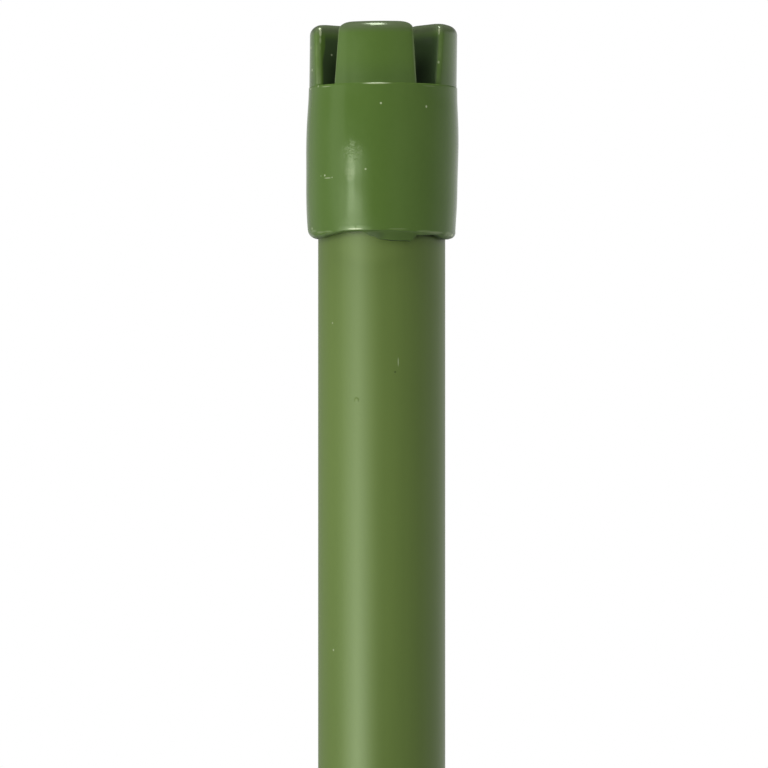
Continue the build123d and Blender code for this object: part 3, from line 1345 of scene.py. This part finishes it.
@dataclass
class SlottedCap:
    """Push-on cap: a barrel body with a socket for the shaft, and prongs with cord slots between them."""

    shaft: Shaft
    crown_top: float = 900.0
    slot_floor: float = 892.3
    socket_clearance: float = 0.05
    lead_in: float = 0.2
    shoulder_radius: float = 9.34
    ledge_round: float = 0.2
    barrel: Curve = (
        (9.38, 890.7), (9.48, 889.0), (9.555, 887.2), (9.59, 885.2), (9.575, 883.2),
        (9.535, 880.9), (9.505, 878.7), (9.45, 876.8), (9.37, 875.3), (9.29, 874.25),
    )
    rim_round: float = 0.95
    trim_reach: float = 2.6
    lip_width: float = 0.6
    lip_height: float = 0.3
    straightened: float = 0.15
    straight_from: float = 877.6
    rim_wave: float = 0.15
    skin_sink: float = 0.09
    crown_radius: float = 9.27
    well_radius: float = 3.4
    slot_half: float = 1.4
    slot_draft: float = 4.4
    top_round: float = 1.2
    well_round: float = 0.6
    wall_round: float = 0.78
    edge_round: float = 0.63
    well_spread: float = 1.05
    prong_sink: float = 0.4
    top_inset: float = 0.12
    prongs: int = 4
    slack: float = 0.01
    segments: int = 320
    straight_rows: int = 6
    round_rows: int = 14
    floor_rows: int = 4
    socket_rows: int = 12
    ledge_steps: int = 6
    barrel_steps: int = 6
    rim_steps: int = 12
    outline_steps: tuple[int, int, int, int, int] = (8, 6, 4, 7, 12)

    def build(self) -> None:
        """Builds and dresses the whole cap as one moulding."""
        finish = CapFinish(self).make()
        body = self._body(finish)
        cap = self._prong("cap_moulding")
        CrownTree().grow(cap, {
            "Prongs": self.prongs,
            "Body": body,
            "Lean": LEAN.vector(),
            "Pivot Level": LEAN.pivot * MM,
            "Socket Radius": (self._mouth() + self.slack) * MM,
            "Socket Top": (self.shaft.tube_top + self.slack) * MM,
            "Material": finish,
        })
        bpy.data.objects.remove(body)
        finish_mesh(cap)
        settle(cap, "cap", "slotted_cap")

    def _mouth(self) -> float:
        """Gives the radius of the socket's mouth, at the bottom of its lead-in."""
        return self.shaft.shank_radius + self.socket_clearance + self.lead_in

    def _body(self, finish: bpy.types.Material) -> bpy.types.Object:
        """Makes the barrel with its floor, rim and socket.

        Args:
            finish: The cap's material.

        Returns:
            The body as an object of its own.
        """
        ledge = self.ledge_round
        ledge_radius = self.shoulder_radius - ledge
        ledge_centre = (ledge_radius, self.slot_floor - ledge)
        rim_centre = (self.barrel[-1][0] - self.rim_round, RIM.level + self.rim_round)
        socket_radius = self._mouth() - self.lead_in
        section = Section()
        section.to(0.0, self.slot_floor)
        section.to(ledge_radius, self.slot_floor, self.floor_rows)
        section.arc(ledge_centre, ledge, start=78.0, end=0.0, steps=self.ledge_steps)
        section.flow(self.barrel, self.barrel_steps)
        section.arc(rim_centre, self.rim_round, start=-8.0, end=-90.0, steps=self.rim_steps)
        section.to(self._mouth(), RIM.level)
        section.to(socket_radius, RIM.level + self.lead_in, steps=2)
        section.to(socket_radius - self.shaft.taper, self.shaft.tube_top, self.socket_rows)
        section.to(0.0, self.shaft.tube_top, self.floor_rows)
        for radius, height in section.points:
            for name, value in self._weights(radius, height).items():
                section.weights.setdefault(name, []).append(value)
        body = section.object("cap_body")
        CapBodyTree().grow(body, {
            "Segments": self.segments,
            "Rim Lift": RIM.lift * MM,
            "Lip Drop": RIM.drop * MM,
            "Wave": self.rim_wave * MM,
            "Sink": self.skin_sink * MM,
            "Material": finish,
        })
        finish_mesh(body)
        return body

    def _weights(self, radius: float, height: float) -> dict[str, float]:
        """Works out how much each change of shape moves a point of the body's section.

        Args:
            radius: The point's radius.
            height: Its height.

        Returns:
            The weights by name: shares for the rim, its lip and the skin, and lengths in metres that a
            sharp corner moves the point out and down.
        """
        above = height - RIM.level
        low = height < RIM.level + self.lip_height
        outside = radius > self._mouth() + self.slack and height < self.slot_floor - self.slack
        rolled = outside and height < RIM.level + self.rim_round
        corner = self.barrel[-1][0] - radius if rolled else 0.0
        return {
            "rim": smooth(1.0 - above / self.trim_reach),
            "lip": smooth(1.0 - (radius - self._mouth()) / self.lip_width) if low else 0.0,
            "skin": 1.0 if outside and not rolled else 0.0,
            "corner_out": (corner + self._straightening(height)) * MM if outside else 0.0,
            "corner_down": above * MM if rolled else 0.0,
        }

    def _straightening(self, height: float) -> float:
        """Gives how far the barrel stands out at a height where the rim's corner is sharp.

        Args:
            height: The height.

        Returns:
            The distance, which grows from none down to the rim's round.
        """
        whole = self.straight_from - RIM.level - self.rim_round
        share = max(0.0, min(1.0, (self.straight_from - height) / whole))
        return self.straightened * share * share

    def _prong(self, name: str) -> bpy.types.Object:
        """Makes one prong as a stack of rounded outlines, sunk a little into the body.

        Args:
            name: Name of the object.

        Returns:
            The prong, between the slots along +X and +Y.
        """
        stem = self.crown_top - self.top_round - self.slot_floor
        levels = [self.slot_floor - self.prong_sink]
        for step in range(self.straight_rows + 1):
            levels.append(self.slot_floor + stem * step / self.straight_rows)
        for step in range(1, self.round_rows + 1):
            turn = math.radians(90 * step / self.round_rows)
            levels.append(self.crown_top - self.top_round + self.top_round * math.sin(turn))
        shell = bmesh.new()
        rings = [self._ring(shell, level, 0.0) for level in levels]
        rings.append(self._ring(shell, self.crown_top, self.top_inset))
        for lower, upper in zip(rings, rings[1:]):
            for here in range(len(lower)):
                ahead = (here + 1) % len(lower)
                shell.faces.new((lower[here], lower[ahead], upper[ahead], upper[here]))
        shell.faces.new(list(reversed(rings[0])))
        shell.faces.new(rings[-1])
        bmesh.ops.recalc_face_normals(shell, faces=shell.faces)
        mesh = bpy.data.meshes.new(name)
        shell.to_mesh(mesh)
        shell.free()
        prong = bpy.data.objects.new(name, mesh)
        bpy.context.scene.collection.objects.link(prong)
        return prong

    def _ring(self, shell: bmesh.types.BMesh, level: float, inset: float) -> list[bmesh.types.BMVert]:
        """Adds the vertices of a prong's outline at one level.

        Args:
            shell: Mesh that takes the vertices.
            level: Height of the outline.
            inset: How far the outline is drawn in from the prong's own.

        Returns:
            The vertices in order.
        """
        outer = self.crown_radius - self._drawn_in(level, self.top_round) - inset
        inner = self.well_radius + self._drawn_in(level, self.well_round) + inset
        rise = (level - self.slot_floor) * math.tan(math.radians(self.slot_draft))
        half = self.slot_half + rise + self._drawn_in(level, self.wall_round) + inset
        ring = self._half_outline(outer, inner, half)
        ring += [(y, x) for x, y in reversed(ring[1:-1])]
        return [shell.verts.new((x * MM, y * MM, level * MM)) for x, y in ring]

    def _drawn_in(self, level: float, radius: float) -> float:
        """Gives how far a rounded top edge has drawn in at a level."""
        above = max(0.0, level - (self.crown_top - radius))
        return radius - math.sqrt(max(0.0, radius * radius - above * above))

    def _half_outline(self, outer: float, inner: float, half: float) -> list[Point]:
        """Draws half a prong's plan: half of each arc about the axis, a slot wall and two rounded corners.

        Args:
            outer: Radius of the outer face.
            inner: Radius of the well.
            half: Distance of the slot walls from the slots' middle planes.

        Returns:
            Points anticlockwise, from the middle of the well's arc to the middle of the outer one. Where the
            two walls leave the well's arc no room, its corners meet further out.
        """
        corner = self.edge_round
        middle = half + corner
        reach_out = math.sqrt((outer - corner) ** 2 - middle ** 2)
        reach_in = max(math.sqrt((inner + corner) ** 2 - middle ** 2), middle * self.well_spread)
        well = math.hypot(reach_in, middle) - corner
        turn_out = math.degrees(math.atan2(middle, reach_out))
        turn_in = math.degrees(math.atan2(middle, reach_in))
        well_steps, inner_steps, wall_steps, outer_steps, face_steps = self.outline_steps
        plan = Section()
        plan.arc((0.0, 0.0), well, 45.0, turn_in, well_steps)
        plan.arc((reach_in, middle), corner, turn_in + 180.0, 270.0, inner_steps)
        plan.to(reach_out, half, wall_steps)
        plan.arc((reach_out, middle), corner, -90.0, turn_out, outer_steps)
        plan.arc((0.0, 0.0), outer, turn_out, 45.0, face_steps)
        return plan.points


class Aim(Enum):
    """Ways in which a studio lamp points."""

    LEVEL = "level, at the stake's axis"
    DOWN = "straight down"


@dataclass(frozen=True)
class SoftBox:
    """Rectangular studio lamp, placed by metres to the right of the stake and towards the camera.

    The two curves give the share of its brightness along its panel's width and along its height.
    """

    name: str
    aim: Aim
    across: float
    ahead: float
    height: float
    width: float
    tall: float
    power: float
    sideways: Curve = ((0.0, 1.0), (1.0, 1.0))
    upwards: Curve = ((0.0, 1.0), (1.0, 1.0))

    def place(self) -> None:
        """Adds the lamp to the scene."""
        lamp = bpy.data.lights.new(self.name, "AREA")
        lamp.shape = "RECTANGLE"
        lamp.size = self.width
        lamp.size_y = self.tall
        lamp.energy = self.power
        self._panel(lamp)
        box = bpy.data.objects.new(self.name, lamp)
        spot = VIEW.facing(90.0) * self.across + VIEW.facing(0.0) * self.ahead
        box.location = spot + Vector((0.0, 0.0, self.height))
        if self.aim is Aim.LEVEL:
            box.rotation_euler = (-spot).to_track_quat("-Z", "Y").to_euler()
        else:
            box.rotation_euler = (0.0, 0.0, math.radians(VIEW.azimuth))
        box.visible_camera = False
        bpy.context.scene.collection.objects.link(box)

    def _panel(self, lamp: bpy.types.Light) -> None:
        """Makes the lamp's panel, whose brightness changes across it and up it.

        Args:
            lamp: The lamp.
        """
        lamp.use_nodes = True
        graph = Graph(lamp.node_tree)
        across = graph.split(graph.add("ShaderNodeNewGeometry", output="Parametric"))
        strength = graph.curve(across, self.sideways) * graph.curve(across.other("Y"), self.upwards)
        glow = graph.add("ShaderNodeEmission", {}, {"Strength": strength})
        graph.add("ShaderNodeOutputLight", {}, {"Surface": glow})


@dataclass
class Studio:
    """Pale floor, white surround and soft boxes, in metres."""

    floor_level: float = -0.3
    floor_radius: float = 3.2
    floor_sides: int = 96
    floor_colour: Colour = (0.82, 0.82, 0.82, 1.0)
    fade_from: float = 0.6
    fade_share: float = 0.96
    white: Colour = (1.0, 1.0, 1.0, 1.0)
    boxes: tuple[SoftBox, ...] = (
        SoftBox(
            "key_box",
            Aim.LEVEL,
            across=-0.669, ahead=0.602, height=0.6325, width=1.2, tall=0.565, power=22.2,
            sideways=(
                (0.0, 0.03), (0.18, 0.135), (0.34, 0.38), (0.48, 0.86), (0.56, 0.97),
                (0.63, 1.0), (0.7, 0.76), (0.78, 0.32), (0.9, 0.11), (1.0, 0.0),
            ),
            upwards=(
                (0.0, 0.55), (0.3, 0.85), (0.58, 0.95), (0.66, 0.73),
                (0.76, 0.59), (0.82, 0.39), (1.0, 0.38),
            ),
        ),
        SoftBox(
            "spark_box", Aim.LEVEL, across=-0.662, ahead=0.597, height=0.9, width=0.17, tall=0.03, power=0.085
        ),
        SoftBox("top_box", Aim.DOWN, across=-0.14, ahead=0.17, height=2.0, width=0.27, tall=0.62, power=9.2),
    )

    def build(self) -> None:
        """Adds the floor, the world and the lamps."""
        self._floor()
        self._world()
        for box in self.boxes:
            box.place()

    def _floor(self) -> None:
        """Makes a round floor that fades into the surround."""
        shell = bmesh.new()
        bmesh.ops.create_circle(shell, cap_ends=True, radius=self.floor_radius, segments=self.floor_sides)
        bmesh.ops.translate(shell, verts=shell.verts, vec=(0.0, 0.0, self.floor_level))
        mesh = bpy.data.meshes.new("studio_floor")
        shell.to_mesh(mesh)
        shell.free()
        floor = bpy.data.objects.new("studio_floor", mesh)
        bpy.context.scene.collection.objects.link(floor)
        material = bpy.data.materials.new("studio_floor")
        material.use_nodes = True
        graph = Graph(material.node_tree)
        reach = graph.reach(graph.add("ShaderNodeTexCoord", output="Object"))
        fade = reach.ease(self.fade_from, self.floor_radius * self.fade_share)
        matt = graph.add("ShaderNodeBsdfDiffuse", {}, {"Color": self.floor_colour})
        clear = graph.add("ShaderNodeBsdfTransparent")
        surface = graph.add("ShaderNodeMixShader", {}, {0: fade, 1: matt, 2: clear})
        graph.add("ShaderNodeOutputMaterial", {}, {"Surface": surface})
        mesh.materials.append(material)

    def _world(self) -> None:
        """Makes the surround, which is white to the camera and has its own looks for gloss and for light."""
        world = bpy.data.worlds.new("studio_surround")
        world.use_nodes = True
        bpy.context.scene.world = world
        graph = Graph(world.node_tree)
        way = graph.add("ShaderNodeTexCoord", output="Generated")
        front = graph.vector("DOT_PRODUCT", way, tuple(VIEW.facing(0.0)), "Value")
        right = graph.vector("DOT_PRODUCT", way, tuple(VIEW.facing(90.0)), "Value")
        up = graph.split(way, "Z")
        path = graph.add("ShaderNodeLightPath")
        camera = path.other("Is Camera Ray")
        shown = path.other("Is Glossy Ray").most(path.other("Is Transmission Ray"))
        strength = shown * self._backdrop(front, right, up) + (1.0 - shown) * self._light(front, right, up)
        strength = camera + (1.0 - camera) * strength
        surround = graph.add("ShaderNodeBackground", {}, {"Color": self.white, "Strength": strength})
        graph.add("ShaderNodeOutputWorld", {}, {"Surface": surround})

    def _light(self, front: Signal, right: Signal, up: Signal) -> Signal:
        """Works out the surround's soft light, from behind the stake and from above on the camera's side.

        Args:
            front: How far a direction points towards the camera.
            right: How far it points to the camera's right.
            up: How far it points up.

        Returns:
            The strength of the light.
        """
        behind = front.ease(0.3, -0.25, 0.02, 0.42) * right.ease(0.0, 0.8, 1.0, 2.2)
        ahead = up.ease(-0.1, 0.25, 0.0, 0.8) * up.ease(0.9, 0.7) * front.ease(-0.35, 0.2)
        return behind + ahead * right.ease(1.0, -1.0, 0.78, 1.1)

    def _backdrop(self, front: Signal, right: Signal, up: Signal) -> Signal:
        """Works out what gloss shows: a pale backdrop and sides around the stake and a glow at the left.

        Args:
            front: How far a direction points towards the camera.
            right: How far it points to the camera's right.
            up: How far it points up.

        Returns:
            The brightness.
        """
        level = up.ease(0.3, 0.05) * up.ease(-0.6, -0.2)
        behind = front.ease(-0.2, -0.95) * right.ease(-0.7, 0.0, 0.3, 0.55) * right.ease(0.2, 0.7, 1.0, 0.4)
        sides = right.ease(-0.55, -0.9, 0.0, 0.27) + right.ease(0.3, 0.7, 0.0, 0.3) * front.ease(0.45, -0.3)
        haze = right.ease(0.05, 0.4, 0.0, 0.16)
        glow = right.ease(-0.81, -0.9) * up.ease(-0.05, 0.06, 0.0, 0.58) * up.ease(0.7, 0.4)
        return (behind + sides + haze) * level + glow * front.ease(-0.1, 0.2) + 0.12


def main() -> None:
    """Builds the stake and its studio."""
    bpy.context.scene.view_settings.view_transform = "Standard"
    shaft = Shaft()
    shaft.build()
    SlottedCap(shaft).build()
    Studio().build()
    VIEW.place_camera()


if __name__ == "__main__":
    main()
